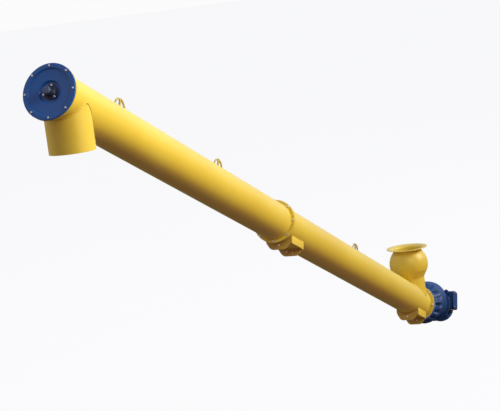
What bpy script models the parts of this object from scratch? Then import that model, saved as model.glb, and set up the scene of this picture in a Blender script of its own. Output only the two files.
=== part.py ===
"""Inclined tubular screw conveyor, about 7 m of tube in two flanged sections.

The tube falls from its outlet end, at -X, to its drive end, at +X. The origin lies on
the flat lip of the inlet's flared rim, on the drive's side. Metres, +Z up.
"""
import math

import bmesh
import bpy
from mathutils import Matrix, Vector

# the tube and how it lies
INCLINE = math.radians(23.06)
TUBE_RADIUS = 0.1365
TUBE_WALL = 0.004
SEAM_AT = 3.3625
TUBE_END = 6.932
SIDES = 48
GAP = 0.0003
CUT_MARGIN = 0.200

# where things sit along the tube, from its upper end
OUTLET_AT = 0.194
INLET_AT = 6.805
LUGS_AT = (0.849, 2.317, 5.170)
HATCHES_AT = {"mid": 3.450, "lower": 6.630}

# flanges and the bearing end plate
FLANGE_THICK = 0.012
END_FLANGE_RADIUS = 0.164
MID_FLANGE_RADIUS = 0.160
DRIVE_FLANGE_RADIUS = 0.165
PLATE_FRONT = 0.006
PLATE_RIM_INNER = 0.136
WEB_RADIUS = 0.132
WEB_FRONT = 0.014
RECESS_FRONT = 0.025
RECESS_RADIUS = 0.066
RECESS_FLOOR_RADIUS = 0.061
SPIGOT_RADIUS = 0.131
SPIGOT_BACK = 0.034
HOUSING_RADIUS = 0.052
HOUSING_TAPER = 0.002
HOUSING_FRONT = 0.012
CAP_RADIUS = 0.030
CAP_TAPER = 0.001
CAP_FRONT = -0.035
CAP_EDGE_LONG = 0.006
CAP_EDGE_WIDE = 0.008

# outlet spout, upright under the tube
SPOUT_RADIUS = 0.134
SPOUT_WALL = 0.004
SPOUT_DROP = 0.289
OUTLET_HOLE_RADIUS = 0.125

# inlet, upright over the tube: heights over the point where its axis meets the tube's
NECK_RADIUS = 0.128
NECK_TOP = 0.228
CONE_TOP = 0.295
CONE_TOP_RADIUS = 0.1645
BALL_RADIUS = 0.1745
BALL_CENTRE = 0.352
BALL_TOP = 0.466
THROAT_RADIUS = 0.129
THROAT_TOP = 0.475
RIM_RADIUS = 0.185
RIM_TOP = 0.506
RIM_EDGE = 0.005
LIP_INNER = 0.176
ORIGIN_RADIUS = 0.1805
FUNNEL_FOOT = 0.120
INLET_WALL = 0.005
INLET_HOLE_RADIUS = 0.119
BALL_STEPS = 9

# lifting lugs: a round bar bent to a half ring, with a post in the middle
LUG_RADIUS = 0.065
LUG_BAR = 0.007
LUG_POST = 0.009
LUG_SIDES = 12
LUG_STEPS = 16

# inspection boxes under the tube
HATCH_LENGTH = 0.250
HATCH_PLATE = 0.005
HATCH_HALF = 0.103
HATCH_SIDE_DROP = 0.150
HATCH_FOOT_HALF = 0.055
HATCH_DROP = 0.198
HATCH_CORNER_WIDE = 0.018
HATCH_CORNER_TALL = 0.010
HATCH_WALL = 0.004
HATCH_WALL_DROP = 0.158
HATCH_COVER_DROP = 0.152

# the screw
SHAFT_RADIUS = 0.042
SHAFT_SIDES = 16
FLIGHT_RADIUS = 0.122
FLIGHT_THICK = 0.004
PITCH = 0.230
FLIGHT_STARTS = (0.080, 3.420)
HANGER_RADIUS = 0.045
HANGER_LENGTH = 0.080
HANGER_ARM_LONG = 0.030
HANGER_ARM_WIDE = 0.024

# drive: the gearbox's sections as (from its near face, half width, half height, across,
# up), with across and up from the tube's axis
ADAPTER_RADIUS = 0.172
ADAPTER_THICK = 0.024
GEARBOX_SECTIONS = (
    (0.000, 0.150, 0.150, 0.000, 0.000),
    (0.030, 0.155, 0.156, -0.010, 0.005),
    (0.073, 0.170, 0.180, -0.032, 0.013),
    (0.088, 0.176, 0.190, -0.032, 0.018),
    (0.118, 0.178, 0.190, -0.035, 0.030),
    (0.153, 0.178, 0.183, -0.035, 0.058),
    (0.213, 0.178, 0.178, -0.035, 0.070),
    (0.243, 0.168, 0.168, -0.035, 0.070),
    (0.313, 0.140, 0.140, -0.040, 0.060),
    (0.385, 0.135, 0.135, -0.040, 0.060),
)
MOTOR_OFFSET = (-0.040, 0.060)
MOTOR_FLANGE_RADIUS = 0.155
MOTOR_FLANGE_THICK = 0.022
MOTOR_RADIUS = 0.118
MOTOR_LENGTH = 0.160
COWL_RADIUS = 0.123
COWL_LENGTH = 0.075
COWL_ROUND = 0.018

# terminal box on the motor's -Y side: its height is measured from the motor's axis
BOX_LENGTH = 0.120
BOX_HEIGHT = 0.165
BOX_ALONG = 0.030
BOX_CENTRE_UP = 0.050
BOX_BACK = 0.100
BOX_FACE = 0.171
LID_THICK = 0.012
LID_OVERHANG = 0.004
LID_ROUND = 0.005

PAINTS = {
    "yellow_paint": ((0.80, 0.52, 0.07), 0.35, 0.0),
    "blue_paint": ((0.02, 0.06, 0.22), 0.35, 0.0),
    "dark_paint": ((0.03, 0.04, 0.06), 0.45, 0.0),
    "worn_steel": ((0.35, 0.34, 0.32), 0.40, 0.9),
}


def clear_scene():
    for item in list(bpy.data.objects):
        bpy.data.objects.remove(item, do_unlink=True)


def paint(name):
    """Each piece gets a material of its own, coloured from the table of paints."""
    color, roughness, metallic = PAINTS[name]
    material = bpy.data.materials.new(name)
    material.use_nodes = True
    shader = material.node_tree.nodes["Principled BSDF"]
    shader.inputs["Base Color"].default_value = (*color, 1.0)
    shader.inputs["Roughness"].default_value = roughness
    shader.inputs["Metallic"].default_value = metallic
    return material


def make_object(name, bm, finish, parent):
    bmesh.ops.recalc_face_normals(bm, faces=bm.faces)
    mesh = bpy.data.meshes.new(name)
    bm.to_mesh(mesh)
    bm.free()
    mesh.shade_smooth()
    mesh.set_sharp_from_angle(angle=math.radians(35))
    piece = bpy.data.objects.new(name, mesh)
    piece.parent = parent
    bpy.context.scene.collection.objects.link(piece)
    if finish:
        mesh.materials.append(paint(finish))
    return piece


def make_frame(name, location, tilt):
    frame = bpy.data.objects.new(name, None)
    frame.location = location
    frame.rotation_euler = (0.0, tilt, 0.0)
    bpy.context.scene.collection.objects.link(frame)
    return frame


def turned(profile, along, sides=SIDES):
    """Turn (position, radius) points about an axis: a closed loop, or a line that
    starts and ends on the axis."""
    bm = bmesh.new()
    if along == "X":
        verts = [bm.verts.new((place, 0.0, radius)) for place, radius in profile]
        axis = (1.0, 0.0, 0.0)
    else:
        verts = [bm.verts.new((radius, 0.0, place)) for place, radius in profile]
        axis = (0.0, 0.0, 1.0)
    closed = profile[0][1] > 0.0
    pairs = list(zip(verts, verts[1:]))
    if closed:
        pairs.append((verts[-1], verts[0]))
    edges = [bm.edges.new(pair) for pair in pairs]
    bmesh.ops.spin(bm, geom=verts + edges, cent=(0, 0, 0), axis=axis,
                   angle=math.tau, steps=sides, use_merge=True)
    bmesh.ops.remove_doubles(bm, verts=bm.verts, dist=0.00001)
    return bm


def ring(start, end, inner, outer, along="X"):
    return turned([(start, inner), (start, outer), (end, outer), (end, inner)], along)


def disc(start, end, radius, along="X", sides=SIDES):
    return turned([(start, 0.0), (start, radius), (end, radius), (end, 0.0)], along, sides)


def block(low, high):
    bm = bmesh.new()
    bmesh.ops.create_cube(bm, size=1.0)
    size = Vector(high) - Vector(low)
    centre = (Vector(high) + Vector(low)) / 2
    bmesh.ops.scale(bm, vec=size, verts=bm.verts)
    bmesh.ops.translate(bm, vec=centre, verts=bm.verts)
    return bm


def grow(bm, face, step):
    """Extrude one face by a step, and give the face at the new end."""
    grown = bmesh.ops.extrude_face_region(bm, geom=[face] + face.edges[:] + face.verts[:])
    moved = [item for item in grown["geom"] if isinstance(item, bmesh.types.BMVert)]
    bmesh.ops.translate(bm, vec=step, verts=moved)
    return [item for item in grown["geom"] if isinstance(item, bmesh.types.BMFace)][0]


def plate_outline(points, start, end):
    """Extrude an outline of (across, up) points along the tube."""
    bm = bmesh.new()
    face = bm.faces.new([bm.verts.new((start, across, up)) for across, up in points])
    grow(bm, face, (end - start, 0.0, 0.0))
    return bm


def as_cutter(piece):
    piece.hide_render = True
    piece.display_type = "WIRE"
    return piece


def boolean(piece, cutter, operation="DIFFERENCE"):
    modifier = piece.modifiers.new(operation.lower(), "BOOLEAN")
    modifier.operation = operation
    modifier.object = cutter
    modifier.solver = "EXACT"


def edge_bevel(piece, width, segments=2):
    modifier = piece.modifiers.new("edges", "BEVEL")
    modifier.width = width
    modifier.segments = segments
    modifier.limit_method = "ANGLE"
    modifier.angle_limit = math.radians(40)


def make_tubes(tube_frame, outlet_frame, inlet_frame):
    inner = TUBE_RADIUS - TUBE_WALL
    front = PLATE_FRONT + FLANGE_THICK + GAP
    upper = make_object("upper_tube", ring(front, SEAM_AT - GAP / 2, inner, TUBE_RADIUS),
                        "yellow_paint", tube_frame)
    lower = make_object("lower_tube", ring(SEAM_AT + GAP / 2, TUBE_END, inner, TUBE_RADIUS),
                        "yellow_paint", tube_frame)
    outlet_hole = as_cutter(make_object(
        "outlet_hole", disc(-SPOUT_DROP, 0.0, OUTLET_HOLE_RADIUS, "Z"), None, outlet_frame))
    inlet_hole = as_cutter(make_object(
        "inlet_hole", disc(0.0, CONE_TOP, INLET_HOLE_RADIUS, "Z"), None, inlet_frame))
    boolean(upper, outlet_hole)
    boolean(lower, inlet_hole)
    space = disc(-CUT_MARGIN, TUBE_END + CUT_MARGIN, TUBE_RADIUS + GAP)
    return as_cutter(make_object("tube_space", space, None, tube_frame))


def make_flanges(tube_frame):
    bore = TUBE_RADIUS + GAP
    end_front = PLATE_FRONT + FLANGE_THICK + GAP
    drive_front = TUBE_END - FLANGE_THICK
    spans = {
        "upper_end_flange": (end_front, end_front + FLANGE_THICK, END_FLANGE_RADIUS),
        "mid_flange_upper": (SEAM_AT - GAP / 2 - FLANGE_THICK, SEAM_AT - GAP / 2, MID_FLANGE_RADIUS),
        "mid_flange_lower": (SEAM_AT + GAP / 2, SEAM_AT + GAP / 2 + FLANGE_THICK, MID_FLANGE_RADIUS),
        "drive_end_flange": (drive_front, TUBE_END, DRIVE_FLANGE_RADIUS),
    }
    for name, (start, end, radius) in spans.items():
        make_object(name, ring(start, end, bore, radius), "yellow_paint", tube_frame)


def make_bearing_end(tube_frame):
    back = PLATE_FRONT + FLANGE_THICK
    plate = [(RECESS_FRONT, 0.0), (RECESS_FRONT, RECESS_FLOOR_RADIUS), (WEB_FRONT, RECESS_RADIUS),
             (WEB_FRONT, WEB_RADIUS), (PLATE_FRONT, PLATE_RIM_INNER),
             (PLATE_FRONT, END_FLANGE_RADIUS), (back, END_FLANGE_RADIUS), (back, SPIGOT_RADIUS),
             (SPIGOT_BACK, SPIGOT_RADIUS), (SPIGOT_BACK, 0.0)]
    make_object("bearing_end_plate", turned(plate, "X"), "blue_paint", tube_frame)
    seat = RECESS_FRONT - GAP
    housing = [(seat, 0.0), (seat, HOUSING_RADIUS), (HOUSING_FRONT, HOUSING_RADIUS - HOUSING_TAPER),
               (HOUSING_FRONT, CAP_RADIUS + CAP_TAPER), (CAP_FRONT + CAP_EDGE_LONG, CAP_RADIUS),
               (CAP_FRONT, CAP_RADIUS - CAP_EDGE_WIDE), (CAP_FRONT, 0.0)]
    make_object("bearing_housing", turned(housing, "X"), "dark_paint", tube_frame)


def make_spout(outlet_frame, tube_space):
    inner = SPOUT_RADIUS - SPOUT_WALL
    spout = make_object("outlet_spout", ring(-SPOUT_DROP, 0.0, inner, SPOUT_RADIUS, "Z"),
                        "yellow_paint", outlet_frame)
    boolean(spout, tube_space)


def arc(centre, radius, start_height, end_height):
    """Heights and radii along a ball's outline between two heights."""
    start = math.asin((start_height - centre) / radius)
    end = math.asin((end_height - centre) / radius)
    angles = [start + (end - start) * k / BALL_STEPS for k in range(BALL_STEPS + 1)]
    return [(centre + radius * math.sin(a), radius * math.cos(a)) for a in angles]


def make_inlet(inlet_frame, tube_space):
    wall = INLET_WALL
    neck = make_object("inlet_neck", ring(0.0, NECK_TOP, NECK_RADIUS - wall, NECK_RADIUS, "Z"),
                       "yellow_paint", inlet_frame)
    boolean(neck, tube_space)

    foot = NECK_TOP + GAP
    cone = [(foot, NECK_RADIUS), (CONE_TOP, CONE_TOP_RADIUS), (CONE_TOP, CONE_TOP_RADIUS - wall),
            (foot, NECK_RADIUS - wall)]
    make_object("inlet_cone", turned(cone, "Z"), "yellow_paint", inlet_frame)

    low = CONE_TOP + GAP
    outside = arc(BALL_CENTRE, BALL_RADIUS, low, BALL_TOP)
    inside = arc(BALL_CENTRE, BALL_RADIUS - wall, BALL_TOP, low)
    make_object("inlet_ball", turned(outside + inside, "Z"), "yellow_paint", inlet_frame)

    bottom = BALL_TOP + GAP
    rim = [(bottom, THROAT_RADIUS), (THROAT_TOP, THROAT_RADIUS), (RIM_TOP - RIM_EDGE, RIM_RADIUS),
           (RIM_TOP, RIM_RADIUS), (RIM_TOP, LIP_INNER), (bottom, FUNNEL_FOOT)]
    make_object("inlet_rim", turned(rim, "Z"), "yellow_paint", inlet_frame)


def lug_ring():
    """Half a ring standing on the tube, on two straight feet."""
    bm = bmesh.new()
    foot = 2 * LUG_BAR
    made = bmesh.ops.create_circle(bm, cap_ends=True, radius=LUG_BAR, segments=LUG_SIDES)
    bmesh.ops.translate(bm, vec=(LUG_RADIUS, 0.0, 0.0), verts=made["verts"])
    top = grow(bm, bm.faces[:][0], (0.0, 0.0, foot))
    spun = bmesh.ops.spin(bm, geom=[top] + top.edges[:] + top.verts[:], cent=(0.0, 0.0, foot),
                          axis=(0.0, -1.0, 0.0), angle=math.pi, steps=LUG_STEPS)
    last = [item for item in spun["geom_last"] if isinstance(item, bmesh.types.BMFace)][0]
    grow(bm, last, (0.0, 0.0, -foot))
    return bm


def make_lugs(tube_frame, tube_space):
    foot = TUBE_RADIUS - 2 * LUG_BAR
    for number, place in enumerate(LUGS_AT, 1):
        lug = make_object(f"lifting_lug_{number}", lug_ring(), "yellow_paint", tube_frame)
        lug.location = (place, 0.0, foot)
        post = disc(0.0, LUG_RADIUS + 2 * LUG_BAR, LUG_POST, "Z", LUG_SIDES)
        post = as_cutter(make_object(f"lug_post_{number}", post, None, tube_frame))
        post.location = lug.location
        boolean(lug, post, "UNION")
        boolean(lug, tube_space)


def make_hatches(tube_frame, tube_space):
    half, foot = HATCH_HALF, HATCH_FOOT_HALF
    corner = foot + HATCH_CORNER_WIDE
    corner_drop = HATCH_DROP - HATCH_CORNER_TALL
    outline = [(-half, 0.0), (-half, -HATCH_SIDE_DROP), (-corner, -corner_drop), (-foot, -HATCH_DROP),
               (foot, -HATCH_DROP), (corner, -corner_drop), (half, -HATCH_SIDE_DROP), (half, 0.0)]
    for name, start in HATCHES_AT.items():
        end = start + HATCH_LENGTH
        plates = {"front": (start, start + HATCH_PLATE), "rear": (end - HATCH_PLATE, end)}
        for side, (near, far) in plates.items():
            plate = make_object(f"{name}_hatch_{side}_plate", plate_outline(outline, near, far),
                                "yellow_paint", tube_frame)
            boolean(plate, tube_space)
        inside_start = start + HATCH_PLATE + GAP
        inside_end = end - HATCH_PLATE - GAP
        for side, sign in (("left", 1.0), ("right", -1.0)):
            across = sorted((sign * half, sign * (half - HATCH_WALL)))
            wall = block((inside_start, across[0], -HATCH_WALL_DROP), (inside_end, across[1], 0.0))
            wall = make_object(f"{name}_hatch_{side}_wall", wall, "yellow_paint", tube_frame)
            boolean(wall, tube_space)
        cover_half = half - HATCH_WALL - GAP
        cover = block((inside_start, -cover_half, -HATCH_COVER_DROP),
                      (inside_end, cover_half, -HATCH_COVER_DROP + HATCH_WALL))
        make_object(f"{name}_hatch_cover", cover, "yellow_paint", tube_frame)


def flight_blade(start, turns):
    """A flat ribbon wound about the shaft."""
    bm = bmesh.new()
    inner = SHAFT_RADIUS + GAP
    corners = [(start, inner), (start, FLIGHT_RADIUS), (start + FLIGHT_THICK, FLIGHT_RADIUS),
               (start + FLIGHT_THICK, inner)]
    section = bm.faces.new([bm.verts.new((place, 0.0, radius)) for place, radius in corners])
    bmesh.ops.spin(bm, geom=[section], cent=(0, 0, 0), axis=(1.0, 0.0, 0.0),
                   dvec=(PITCH / SHAFT_SIDES, 0.0, 0.0), angle=math.tau * turns,
                   steps=SHAFT_SIDES * turns)
    return bm


def make_screw(tube_frame):
    hanger_start = SEAM_AT - HANGER_LENGTH / 2
    hanger_end = SEAM_AT + HANGER_LENGTH / 2
    upper_start = SPIGOT_BACK + GAP
    spans = {
        "upper_screw": (upper_start, hanger_start - GAP, FLIGHT_STARTS[0]),
        "lower_screw": (hanger_end + GAP, TUBE_END, FLIGHT_STARTS[1]),
    }
    for name, (start, end, first) in spans.items():
        make_object(f"{name}_shaft", disc(start, end, SHAFT_RADIUS, "X", SHAFT_SIDES),
                    "worn_steel", tube_frame)
        turns = int((end - first) / PITCH)
        make_object(f"{name}_flight", flight_blade(first, turns), "worn_steel", tube_frame)

    hub = make_object("hanger_bearing", disc(hanger_start, hanger_end, HANGER_RADIUS, "X", SHAFT_SIDES),
                      "worn_steel", tube_frame)
    half_long, half_wide = HANGER_ARM_LONG / 2, HANGER_ARM_WIDE / 2
    arm = block((SEAM_AT - half_long, -half_wide, 0.0), (SEAM_AT + half_long, half_wide, TUBE_RADIUS))
    arm = as_cutter(make_object("hanger_arm", arm, None, tube_frame))
    bore = disc(SEAM_AT - CUT_MARGIN, SEAM_AT + CUT_MARGIN, TUBE_RADIUS - TUBE_WALL - GAP)
    bore = as_cutter(make_object("tube_bore", bore, None, tube_frame))
    boolean(hub, arm, "UNION")
    boolean(hub, bore, "INTERSECT")


def lofted(stations):
    """Carry an oval face through stations of (along, half width, half height, across, up)."""
    bm = bmesh.new()
    along, wide, tall, across, up = stations[0]
    turn = Matrix.Rotation(math.pi / 2, 4, "Y")
    bmesh.ops.create_circle(bm, cap_ends=True, radius=wide, segments=SIDES, matrix=turn)
    bmesh.ops.scale(bm, vec=(1.0, 1.0, tall / wide), verts=bm.verts)
    bmesh.ops.translate(bm, vec=(along, across, up), verts=bm.verts)
    face = bm.faces[:][0]
    for last, here in zip(stations, stations[1:]):
        step = Vector((here[0] - last[0], here[3] - last[3], here[4] - last[4]))
        face = grow(bm, face, step)
        centre = Matrix.Translation((-here[0], -here[3], -here[4]))
        growth = (1.0, here[1] / last[1], here[2] / last[2])
        bmesh.ops.scale(bm, vec=growth, space=centre, verts=face.verts)
    return bm


def make_drive(tube_frame):
    start = TUBE_END + GAP
    adapter_end = start + ADAPTER_THICK
    make_object("drive_adapter_flange", disc(start, adapter_end, ADAPTER_RADIUS),
                "blue_paint", tube_frame)
    near = adapter_end + GAP
    far = near + GEARBOX_SECTIONS[-1][0]
    sections = [(near + section[0], *section[1:]) for section in GEARBOX_SECTIONS]
    make_object("gearbox_housing", lofted(sections), "blue_paint", tube_frame)
    body_start = far + MOTOR_FLANGE_THICK + 2 * GAP
    body_end = body_start + MOTOR_LENGTH
    make_motor(tube_frame, far + GAP, body_start, body_end)
    make_terminal_box(tube_frame, body_start, body_end)


def make_motor(tube_frame, flange_start, body_start, body_end):
    cowl_start = body_end + GAP
    cowl_end = cowl_start + COWL_LENGTH
    corner = COWL_ROUND * (1.0 - math.cos(math.pi / 4))
    cowl = [(cowl_start, 0.0), (cowl_start, COWL_RADIUS), (cowl_end - COWL_ROUND, COWL_RADIUS),
            (cowl_end - corner, COWL_RADIUS - corner), (cowl_end, COWL_RADIUS - COWL_ROUND), (cowl_end, 0.0)]
    shapes = {
        "motor_flange": disc(flange_start, body_start - GAP, MOTOR_FLANGE_RADIUS),
        "motor_body": disc(body_start, body_end, MOTOR_RADIUS),
        "fan_cowl": turned(cowl, "X"),
    }
    for name, shape in shapes.items():
        piece = make_object(name, shape, "blue_paint", tube_frame)
        piece.location = (0.0, *MOTOR_OFFSET)


def make_terminal_box(tube_frame, body_start, body_end):
    """The box sits in a saddle cut to the motor's round body."""
    motor_across, motor_up = MOTOR_OFFSET
    start = body_start + BOX_ALONG
    end = start + BOX_LENGTH
    low = motor_up + BOX_CENTRE_UP - BOX_HEIGHT / 2
    high = low + BOX_HEIGHT
    face = motor_across - BOX_FACE
    box = block((start, face, low), (end, motor_across - BOX_BACK, high))
    box = make_object("terminal_box", box, "blue_paint", tube_frame)
    space = as_cutter(make_object(
        "motor_space", disc(body_start, body_end, MOTOR_RADIUS + GAP), None, tube_frame))
    space.location = (0.0, motor_across, motor_up)
    boolean(box, space)

    over = LID_OVERHANG
    lid = block((start - over, face - LID_THICK - GAP, low - over), (end + over, face - GAP, high + over))
    lid = make_object("terminal_box_lid", lid, "blue_paint", tube_frame)
    edge_bevel(lid, LID_ROUND)


def main():
    clear_scene()
    inlet_foot = Vector((-ORIGIN_RADIUS, 0.0, -RIM_TOP))
    slope = Vector((math.cos(INCLINE), 0.0, -math.sin(INCLINE)))
    upper_end = inlet_foot - slope * INLET_AT
    tube_frame = make_frame("tube_frame", upper_end, INCLINE)
    inlet_frame = make_frame("inlet_frame", inlet_foot, 0.0)
    outlet_frame = make_frame("outlet_frame", upper_end + slope * OUTLET_AT, 0.0)

    tube_space = make_tubes(tube_frame, outlet_frame, inlet_frame)
    make_flanges(tube_frame)
    make_bearing_end(tube_frame)
    make_spout(outlet_frame, tube_space)
    make_inlet(inlet_frame, tube_space)
    make_lugs(tube_frame, tube_space)
    make_hatches(tube_frame, tube_space)
    make_screw(tube_frame)
    make_drive(tube_frame)


main()
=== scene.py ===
import math
import random

import bmesh
import bpy
from mathutils import Matrix, Vector


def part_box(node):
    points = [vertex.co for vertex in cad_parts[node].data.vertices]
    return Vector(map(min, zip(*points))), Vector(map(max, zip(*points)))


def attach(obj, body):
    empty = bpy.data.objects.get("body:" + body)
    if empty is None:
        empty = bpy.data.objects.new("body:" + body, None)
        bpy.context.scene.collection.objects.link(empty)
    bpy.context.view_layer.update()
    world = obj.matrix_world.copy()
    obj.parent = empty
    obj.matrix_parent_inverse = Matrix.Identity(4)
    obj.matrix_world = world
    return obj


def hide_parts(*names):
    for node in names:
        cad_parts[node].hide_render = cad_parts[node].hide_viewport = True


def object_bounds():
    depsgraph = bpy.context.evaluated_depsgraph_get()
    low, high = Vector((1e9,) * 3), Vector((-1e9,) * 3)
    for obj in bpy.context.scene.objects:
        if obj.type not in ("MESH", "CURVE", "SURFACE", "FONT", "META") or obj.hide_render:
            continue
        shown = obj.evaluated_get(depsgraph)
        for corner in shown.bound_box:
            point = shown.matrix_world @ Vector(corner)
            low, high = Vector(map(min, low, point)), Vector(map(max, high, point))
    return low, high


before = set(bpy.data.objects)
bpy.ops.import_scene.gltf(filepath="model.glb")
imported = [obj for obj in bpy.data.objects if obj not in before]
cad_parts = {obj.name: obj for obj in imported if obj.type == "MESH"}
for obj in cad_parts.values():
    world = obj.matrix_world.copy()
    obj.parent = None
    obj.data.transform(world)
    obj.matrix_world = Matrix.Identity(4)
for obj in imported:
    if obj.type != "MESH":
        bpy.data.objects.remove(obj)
cadLow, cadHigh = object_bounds()
random.seed(11)
print("frame loaded:", len(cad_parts), "nodes")

# where the conveyor lies: the tube's own frame runs down the tube, across it and up from its axis
conveyor = dict(incline=23.06, radius=0.1365, wall=0.004, start=0.018, seamAt=3.3625, end=6.932,
                outletAt=0.194, inletAt=6.805, inletHeight=0.506, gap=0.0003)
tubeRadius = conveyor["radius"]
seamAt = conveyor["seamAt"]
gap = conveyor["gap"]
fall = math.radians(conveyor["incline"])
rimLow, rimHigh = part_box("inlet_rim")
inletFoot = Vector(((rimLow.x + rimHigh.x) / 2, 0, rimHigh.z - conveyor["inletHeight"]))
downTube = Vector((math.cos(fall), 0, -math.sin(fall)))
upperEnd = inletFoot - downTube * conveyor["inletAt"]
inPlace = Matrix.Identity(4)
onTube = Matrix.Translation(upperEnd) @ Matrix.Rotation(fall, 4, "Y")
onInlet = Matrix.Translation(inletFoot)
onOutlet = Matrix.Translation(upperEnd + downTube * conveyor["outletAt"])


# shapes


def turned(outline, axis="X", sides=96):
    # outline holds (place, radius) pairs; it closes on itself unless it starts on the axis
    bm = bmesh.new()
    if axis == "X":
        verts = [bm.verts.new((place, 0, radius)) for place, radius in outline]
    else:
        verts = [bm.verts.new((radius, 0, place)) for place, radius in outline]
    edges = [bm.edges.new(pair) for pair in zip(verts, verts[1:])]
    if outline[0][1] > 0:
        edges.append(bm.edges.new((verts[-1], verts[0])))
    direction = (1, 0, 0) if axis == "X" else (0, 0, 1)
    bmesh.ops.spin(bm, geom=verts + edges, cent=(0, 0, 0), axis=direction,
                   angle=math.tau, steps=sides, use_merge=True)
    bmesh.ops.remove_doubles(bm, verts=bm.verts, dist=1e-6)
    bmesh.ops.recalc_face_normals(bm, faces=bm.faces)
    return bm


def spread(start, end, steps):
    # even steps from start to end, both included
    return [start + (end - start) * step / steps for step in range(steps + 1)]


def disc(start, end, radius, axis="X", sides=96):
    return turned([(start, 0), (start, radius), (end, radius), (end, 0)], axis, sides)


def block(low, high):
    bm = bmesh.new()
    low, high = Vector(low), Vector(high)
    bmesh.ops.create_cube(bm, size=1)
    bmesh.ops.scale(bm, vec=high - low, verts=bm.verts)
    bmesh.ops.translate(bm, vec=(low + high) / 2, verts=bm.verts)
    return bm


def grow(bm, face, step):
    # pull one face out by a step, and hand back the face at the new end
    grown = bmesh.ops.extrude_face_region(bm, geom=[face] + face.edges[:] + face.verts[:])["geom"]
    bmesh.ops.translate(bm, vec=step, verts=[part for part in grown if isinstance(part, bmesh.types.BMVert)])
    return [part for part in grown if isinstance(part, bmesh.types.BMFace)][0]


def roundOff(bm, geom, width, segments, affect="EDGES"):
    bmesh.ops.bevel(bm, geom=geom, offset=width, offset_type="OFFSET", segments=segments, profile=0.5,
                    affect=affect, clamp_overlap=True, material=-1)
    return bm


def soften(bm, width, segments=2, over=30):
    # round every edge that turns by more than so many degrees
    edges = [edge for edge in bm.edges
             if len(edge.link_faces) == 2 and edge.calc_face_angle() > math.radians(over)]
    return roundOff(bm, edges, width, segments)


def meshOf(name, bm):
    mesh = bpy.data.meshes.new(name)
    bm.to_mesh(mesh)
    bm.free()
    return mesh


def addObject(name, data):
    made = bpy.data.objects.new(name, data)
    bpy.context.scene.collection.objects.link(made)
    return made


def joined(shapes):
    whole = bmesh.new()
    for shape in shapes:
        carrier = meshOf("carrier", shape)
        whole.from_mesh(carrier)
        bpy.data.meshes.remove(carrier)
    return whole


def placed(bm, place):
    bm.transform(place)
    return bm


def copies(shape, places):
    made = [placed(shape.copy(), place) for place in places]
    shape.free()
    return joined(made)


def finishPiece(name, bm, material, replaces=(), place=onTube, sharp=35):
    bm.transform(place)
    bmesh.ops.recalc_face_normals(bm, faces=bm.faces)
    mesh = meshOf(name, bm)
    mesh.shade_smooth()
    mesh.set_sharp_from_angle(angle=math.radians(sharp))
    mesh.materials.append(material)
    piece = addObject(name, mesh)
    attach(piece, "root")
    if replaces:
        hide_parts(*replaces)


def cutAway(bm, cutter):
    # take the cutter's shape out of bm with a Boolean, and hand back the result
    shapes = dict(target=bm, tool=cutter)
    target, tool = [addObject(name, meshOf(name, shape)) for name, shape in shapes.items()]
    modifier = target.modifiers.new("cut", "BOOLEAN")
    modifier.operation = "DIFFERENCE"
    modifier.solver = "EXACT"
    modifier.object = tool
    result = bmesh.new()
    result.from_object(target, bpy.context.evaluated_depsgraph_get())
    for item in (target, tool):
        mesh = item.data
        bpy.data.objects.remove(item)
        bpy.data.meshes.remove(mesh)
    return result


def saddleHeight(x, y, side):
    # how far above the crossing point an upright line meets the tube, on its upper (1) or lower (-1) side
    reach = (tubeRadius + gap) ** 2 - y * y
    return (side * math.sqrt(max(reach, 0)) - x * math.sin(fall)) / math.cos(fall)


# finishes


def addNode(tree, kind, values=None, **settings):
    node = tree.nodes.new(kind)
    for key, value in settings.items():
        setattr(node, key, value)
    for key, value in (values or {}).items():
        node.inputs[key].default_value = value
    return node


def addNoise(tree, coords, scale, detail=3, roughness=0.55, stretch=None):
    link = tree.links.new
    if stretch:
        mapping = addNode(tree, "ShaderNodeMapping", {"Scale": stretch, "Rotation": (0, fall, 0)})
        link(coords, mapping.inputs["Vector"])
        coords = mapping.outputs["Vector"]
    noise = addNode(tree, "ShaderNodeTexNoise", {"Scale": scale, "Detail": detail, "Roughness": roughness})
    link(coords, noise.inputs["Vector"])
    return noise.outputs["Fac"]


def remap(tree, source, low, high, toLow=0, toHigh=1):
    values = {"From Min": low, "From Max": high, "To Min": toLow, "To Max": toHigh}
    node = addNode(tree, "ShaderNodeMapRange", values)
    tree.links.new(source, node.inputs["Value"])
    return node.outputs["Result"]


def feed(tree, sockets, values):
    # give each socket its number or colour, or link it to the output given
    for socket, value in zip(sockets, values):
        if isinstance(value, bpy.types.NodeSocket):
            tree.links.new(value, socket)
        elif socket.type == "RGBA":
            socket.default_value = (*value, 1)
        else:
            socket.default_value = value


def combine(tree, operation, first, second):
    node = addNode(tree, "ShaderNodeMath", operation=operation)
    feed(tree, node.inputs, (first, second))
    return node.outputs["Value"]


def combineVectors(tree, operation, first, second, output="Vector"):
    node = addNode(tree, "ShaderNodeVectorMath", operation=operation)
    feed(tree, node.inputs, (first, second))
    return node.outputs[output]


def blendColour(tree, factor, first, second):
    node = addNode(tree, "ShaderNodeMix", data_type="RGBA")
    feed(tree, [node.inputs[number] for number in (0, 6, 7)], (factor, first, second))
    return node.outputs[2]


def newFinish(name):
    material = bpy.data.materials.new(name)
    material.use_nodes = True
    tree = material.node_tree
    coords = addNode(tree, "ShaderNodeTexCoord").outputs["Object"]
    return material, tree, tree.nodes["Principled BSDF"], coords


def setShader(tree, shader, values):
    # numbers, colours or outputs, by the name of the shader's input
    feed(tree, [shader.inputs[name] for name in values], values.values())


def creaseShadeMask(tree, distance):
    # 1 deep in corners and 0 in the open, from ambient occlusion: what it darkens is painted shade
    crease = addNode(tree, "ShaderNodeAmbientOcclusion", {"Distance": distance}, samples=4)
    return remap(tree, crease.outputs["AO"], 0.85, 0.35)


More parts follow.
